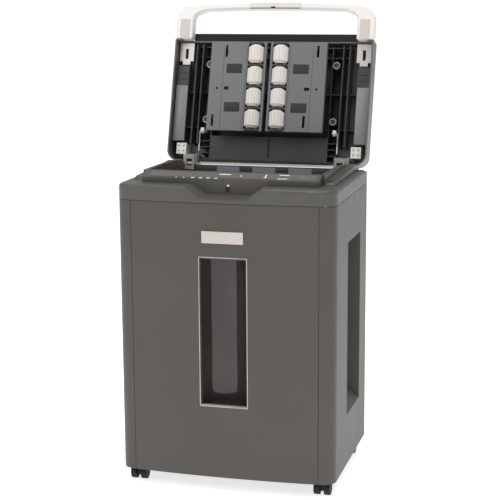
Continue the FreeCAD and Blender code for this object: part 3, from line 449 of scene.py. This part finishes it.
def lid_slab(across, along, proud, ease=0.0004):
    """A block on the lid from its ranges across, along and out from the rim."""
    return slab(on_lid(across[0], along[0], proud[1]), on_lid(across[1], along[1], proud[0]), ease)


# Smooth skins line the side channels; their grey, paler than the lid's, is painted light.
# A black lip runs along the lid's lower edge.
channel_painted_light = moulded("channel_lit_moulding", tone(128, 126, 127), 0.34, 0.06, 900, 0.03)
for side, sign in (("left", -1), ("right", 1)):
    skin = lid_slab(sorted((sign * 0.1708, sign * 0.1944)), (0.0340, 0.1455), (-0.0140, -0.0134))
    ride_with(settle(skin, "channel_skin_" + side, lid_pose), "lid_ribs", channel_painted_light)
lining_and_gap_shade_black = moulded("lining_and_gap_shade_black", tone(30, 30, 32), 0.6, 0.15, 500)
# The lip's black is painted shade in the gap between the lid's lower edge and the deck.
lower_gap_shade = lid_slab((-0.1335, 0.1335), (-0.0092, -0.0038), (-0.0040, 0.0006))
ride_with(settle(lower_gap_shade, "lower_gap_shade", lid_pose), "lid_shell", lining_and_gap_shade_black)

# A matt black backing sheet lies behind the ribs in the middle of the lid.
lining = one_piece([lid_slab((-0.117, 0.117), (0.048, 0.224), (-0.0435, -0.0425)),
                    lid_slab((-0.134, -0.1195), (0.006, 0.222), (-0.0435, -0.0425)),
                    lid_slab((0.1195, 0.134), (0.006, 0.222), (-0.0435, -0.0425))])
ride_with(settle(lining, "lid_lining", lid_pose), "lid_shell", lining_and_gap_shade_black)


# ---------------------------------------------------------------- front rail and handle
# A black rail closes the lid's front; a pale loop handle stands above it on two arms with
# inlaid strips, held by stamped bright brackets.

rail_and_grip_shade_black = moulded("rail_and_grip_shade_black", tone(6, 6, 6), 0.7, 0.08, 900)
eased_for("lid_front_rail", 0.001, rail_and_grip_shade_black)
handle_white = moulded("handle_white", tone(226, 223, 219), 0.32, 0.04, 900, 0.02)
strip_grey = moulded("strip_film", tone(196, 188, 182), 0.4, 0.05, 900, 0.02)
eased_for("handle", 0.004, handle_white, 4)
grip_pale = moulded("grip_pale", tone(212, 207, 202), 0.36, 0.04, 900, 0.02)
eased_for("handle_grip", 0.0005, grip_pale)
# The long thin black line below the grip is painted shade under its edge; the short block at its
# middle is the latch tab.
shade_line_and_latch_tab = one_piece([lid_slab((-0.050, 0.050), (0.2972, 0.2984), (0.0004, 0.0016), 0.0002),
                        lid_slab((-0.0075, 0.0005), (0.2976, 0.3004), (0.0013, 0.0029), 0.0003)])
ride_with(settle(shade_line_and_latch_tab, "grip_shade_line_and_latch_tab", lid_pose), "handle_grip", rail_and_grip_shade_black)
rail_seal = lid_slab((-0.1865, 0.1865), (0.2322, 0.2362), (-0.0195, -0.0184), 0.0002)
ride_with(settle(rail_seal, "rail_seal", lid_pose), "lid_front_rail", rail_and_grip_shade_black)


def metal(name, colour, rough, stretch=(1, 1, 0.06), metallic=1.0):
    """Brushed or pressed metal with fine streaks."""
    finish = Finish(name)
    streaks = finish.noise(700, 3, 0.6, stretch)
    cloud = finish.noise(14, 2)
    dark = tuple(part * 0.86 for part in colour) + (1,)
    return finish.shade(Base_Color=finish.blend(streaks * 0.6 + cloud * 0.4, dark, colour + (1,)),
                        Metallic=metallic, Roughness=rough + (streaks - 0.5) * 0.14,
                        Normal=finish.bump(streaks, 0.06, 0.0002))


bright_steel = metal("bright_steel", tone(216, 209, 203), 0.34, metallic=0.35)
for side in ("left", "right"):
    eased_for("handle_strip_" + side, 0.0002, strip_grey)
    eased_for("handle_bracket_" + side, 0.0004, bright_steel)


# ---------------------------------------------------------------- hinges, pulleys and blocks
# Pale open hinge frames are screwed to the deck's back corners. Small white pulleys with their
# pull rods, and dimpled white moulded blocks, are fixed inside the lid near them.

frame_pale = metal("hinge_pale", tone(196, 194, 188), 0.4, (1, 1, 1), 0.3)
block_white = moulded("block_white", tone(228, 226, 220), 0.4, 0.05, 900, 0.02)
for side in ("left", "right"):
    eased_for("hinge_bracket_" + side, 0.0006, frame_pale)
    eased_for("bumper_block_" + side, 0.0008, block_white)
    eased_for("pulley_" + side, 0.0003, block_white)


# ---------------------------------------------------------------- sprung plates
# Two mid-grey pressed plates with folded edges, held off the lid by springs. Each has two rough
# dark pads, two fold lines with painted shade in their creases, and dark cross blocks between
# its rollers that are painted shade.

roller_x, first_roller, roller_pitch = 0.0245, 0.072, 0.0425
plate_grey = moulded("plate_grey", tone(106, 106, 108), 0.36, 0.05, 1000, 0.03)
pad_dark = moulded("pad_rough", tone(52, 52, 54), 0.85, 0.5, 450, 0.08)
fold_shade = moulded("fold_shadow", tone(74, 75, 78), 0.5, 0.1, 800)
track_shade = moulded("track_shadow", tone(60, 61, 63), 0.5, 0.1, 800)
for side, sign in (("left", -1), ("right", 1)):
    node = "pressure_plate_" + side
    eased_for(node, 0.0005, plate_grey)
    pads = one_piece([lid_slab(sorted((sign * 0.051, sign * 0.082)), (along, along + 0.0185),
                               (0.0248, 0.0256), 0.0003) for along in (0.086, 0.162)])
    ride_with(settle(pads, "plate_pads_" + side, lid_pose), node, pad_dark)
    # The dark strips on the two fold lines are painted shade in the creases.
    folds = one_piece([lid_slab(sorted((sign * (x - 0.0004), sign * (x + 0.0004))), (0.051, 0.214),
                                (0.0246, 0.0253), 0.0001) for x in (0.0885, 0.0435)])
    ride_with(settle(folds, "plate_fold_shade_" + side, lid_pose), node, fold_shade)
    # Dark cross blocks between the rollers: painted shade.
    gap_shades = []
    for index in range(5):
        middle = first_roller + (index - 0.5) * roller_pitch
        gap_shades.append(lid_slab(sorted((sign * 0.0105, sign * 0.0385)),
                              (middle - 0.0016, middle + 0.0016), (0.0252, 0.0300)))
    ride_with(settle(one_piece(gap_shades), "roller_gap_shades_" + side, lid_pose), node, track_shade)


# ---------------------------------------------------------------- idler rollers
# Eight ivory moulded barrels with tapered ends and fluted sides, four on each plate, clipped in
# so that they turn freely and press the paper on to the feed rollers.

def pick(test):
    """Select the faces of the mesh in edit mode whose middle and normal pass a test."""
    bpy.ops.mesh.select_mode(type="FACE")
    mesh = bmesh.from_edit_mesh(bpy.context.object.data)
    mesh.normal_update()
    for face in mesh.faces:
        face.select_set(bool(test(face.calc_center_median(), face.normal)))
    mesh.select_flush_mode()
    bmesh.update_edit_mesh(bpy.context.object.data)


roller_white = moulded("roller_ivory", tone(216, 211, 203), 0.45, 0.08, 700, 0.03)
bpy.ops.mesh.primitive_cylinder_add(vertices=16, radius=0.0137, depth=0.0282)
barrel = bpy.context.object
activate(barrel)
pick(lambda middle, normal: abs(normal.z) > 0.9)
bpy.ops.mesh.inset(thickness=0.0040, depth=0.0036)
bpy.ops.mesh.inset(thickness=0.0012, depth=0.0)
bpy.ops.mesh.inset(thickness=0.0016, depth=-0.0012)
pick(lambda middle, normal: abs(normal.z) < 0.1 and middle.xy.length > 0.0125)
bpy.ops.mesh.inset(use_individual=True, thickness=0.0009, depth=0.0014)
bpy.ops.object.mode_set(mode="OBJECT")
for side, sign in (("left", -1), ("right", 1)):
    for index in range(4):
        name = "idler_%s_%d" % (side, index + 1)
        roller = barrel.copy()
        roller.data = barrel.data.copy()
        bpy.context.scene.collection.objects.link(roller)
        bpy.ops.object.select_all(action="DESELECT")
        roller.select_set(True)
        bpy.context.view_layer.objects.active = roller
        spot = on_lid(sign * roller_x, first_roller + roller_pitch * index, 0.023)
        settle(roller, name + "_barrel", lid_pose @ Matrix.Translation(spot), 25)
        ride_with(roller, name, roller_white)
        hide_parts(name)
bpy.data.objects.remove(barrel)


# ---------------------------------------------------------------- coil springs
# Four bright steel springs of round wire stand on the bosses beside the plates. Each is a ring
# of wire carried round and along the spring's axis, open at both ends.

ring = 8
for side, sign in (("left", -1), ("right", 1)):
    for number, along in ((1, 0.077), (2, 0.1875)):
        bpy.ops.mesh.primitive_circle_add(vertices=ring, radius=0.0006, location=(0.006, 0, 0),
                                          rotation=(math.pi / 2, 0, 0))
        spring = bpy.context.object
        bpy.ops.object.transform_apply(location=True, rotation=True, scale=True)
        activate(spring)
        bpy.ops.mesh.select_mode(type="VERT")
        wire = bmesh.from_edit_mesh(spring.data)
        wire.verts.ensure_lookup_table()
        first, last = wire.verts[0], wire.verts[ring - 1]
        gap = first.co - last.co
        for edge in wire.edges:
            edge.select_set(first in edge.verts and last in edge.verts)
        bpy.ops.mesh.delete(type="EDGE_FACE")
        bpy.ops.mesh.select_all(action="DESELECT")
        wire = bmesh.from_edit_mesh(spring.data)
        wire.verts.ensure_lookup_table()
        wire.verts[ring - 1].select_set(True)
        bpy.ops.mesh.extrude_region_move(TRANSFORM_OT_translate={"value": gap})
        bpy.ops.mesh.select_all(action="SELECT")
        bpy.ops.mesh.screw(steps=20, turns=6, center=(0, 0, 0), axis=(0, 0, 0.0022))
        bpy.ops.mesh.select_all(action="SELECT")
        bpy.ops.mesh.remove_doubles(threshold=0.00001)
        bpy.ops.mesh.normals_make_consistent(inside=False)
        spot = on_lid(sign * 0.1275, along, -0.012)
        settle(spring, "spring_%s_%d" % (side, number),
               lid_pose @ Matrix.Translation(spot) @ Matrix.Rotation(math.pi / 2, 4, "X"), 60)
        ride_with(spring, "lid_shell", bright_steel)


# ---------------------------------------------------------------- control panel
# A membrane overlay with three flat keys, plain white marks beside the lamps and keys, and a
# green power symbol.

film = moulded("overlay_film", tone(94, 91, 84), 0.34, 0.05, 900, 0.03)
wear(["control_overlay", "key_forward", "key_reverse", "key_power"], film)
panel_front, panel_back = Vector((0, -0.121, 0.568)), Vector((0, -0.092, 0.5765))
slope = panel_back - panel_front
panel_pose = (Matrix.Translation((panel_front + panel_back) / 2)
              @ Matrix.Rotation(math.atan2(slope.z, slope.y), 4, "X"))
print_white = moulded("print_white", tone(226, 226, 222), 0.5, 0.0, 900, 0.02)
print_green = moulded("print_green", tone(52, 150, 92), 0.45, 0.0, 900, 0.03)


ink = 0.00015


def mark(x, y, long, deep, base=0.0006):
    """A printed bar on the overlay."""
    return slab((x - long / 2, y - deep / 2, base), (x + long / 2, y + deep / 2, base + ink),
                0.00005, 1)


marks = [mark(x, -0.0128, 0.0032, 0.0022, 0.0) for x in (-0.0967, -0.0833)]
marks += [mark(x, -0.0126, 0.0064, 0.0032, 0.0) for x in (-0.0664, -0.0517, -0.0378, -0.0233)]
marks += [mark(-0.0103, 0.0036, 0.0215, 0.0036), mark(0.0200, -0.0008, 0.0036, 0.0036)]
marks += [mark(0.0640, -0.0002, 0.0044, 0.0135)]
marks += [mark(0.0975, 0.0072, 0.0185, 0.0028), mark(0.0965, -0.0082, 0.0185, 0.0028)]
printed = one_piece(marks)
ride_with(settle(printed, "panel_marks", panel_pose), "control_overlay", print_white)
symbol_x = 0.1315
bpy.ops.mesh.primitive_circle_add(vertices=40, radius=0.0056, fill_type="NGON",
                                  location=(symbol_x, 0, 0.0006))
symbol = bpy.context.object
bpy.ops.object.transform_apply(location=True, rotation=True, scale=True)
activate(symbol)
bpy.ops.mesh.select_all(action="SELECT")
bpy.ops.mesh.inset(thickness=0.0019, depth=0.0)
pick(lambda middle, normal: (middle - Vector((symbol_x, 0, middle.z))).length < 0.001
     or (middle.y > 0 and abs(middle.x - symbol_x) < 0.0013))
bpy.ops.mesh.delete(type="FACE")
bpy.ops.mesh.select_all(action="SELECT")
bpy.ops.mesh.extrude_region_move(TRANSFORM_OT_translate={"value": (0, 0, ink)})
bpy.ops.mesh.select_all(action="SELECT")
bpy.ops.mesh.normals_make_consistent(inside=False)
bpy.ops.object.mode_set(mode="OBJECT")
stroke = slab((symbol_x - 0.0009, 0.0010, 0.0006), (symbol_x + 0.0009, 0.0068, 0.0006 + ink),
              0.00005, 1)
power = one_piece([symbol, stroke])
ride_with(settle(power, "power_symbol", panel_pose), "control_overlay", print_green)


# ---------------------------------------------------------------- guide strip
# A pale moulded strip runs along the back wall of the paper tray, with four dark patches let
# into it.

strip_pale = moulded("guide_pale", tone(138, 138, 150), 0.4, 0.05, 900, 0.02)
strip_dark = moulded("guide_dark", tone(66, 68, 66), 0.5, 0.1, 900)
wear(["tray_guide_strip"], strip_pale)
patches = one_piece([slab((x - half, 0.1276, 0.5452), (x + half, 0.1296, 0.5568), 0.0005)
                     for x, half in ((-0.116, 0.0205), (-0.036, 0.0125), (0.036, 0.0125),
                                     (0.116, 0.0205))])
ride_with(settle(patches, "guide_patches"), "tray_deck", strip_dark)


# ---------------------------------------------------------------- cutters, motor and rear fittings
# Machined steel cutters and gears turn between two steel plates, driven by a cast motor. Two
# rubber rollers pull the paper in. A black inlet and rocker are set in the rear panel.

wear(["cutter_left", "cutter_right", "motor_pinion"],
     metal("cutter_steel", tone(150, 150, 152), 0.28))
wear(["cutter_plate_front", "cutter_plate_rear"], metal("plate_steel", tone(168, 168, 166), 0.4))
wear(["motor"], metal("motor_metal", tone(96, 98, 102), 0.45, (1, 0.06, 1), 0.8))
wear(["feed_roller_left", "feed_roller_right"],
     moulded("feed_rubber", tone(40, 40, 40), 0.8, 0.4, 600))
wear(["power_inlet"], caster_black)
wear(["mains_rocker"], moulded("rocker_black", tone(24, 24, 25), 0.3, 0.05, 900))
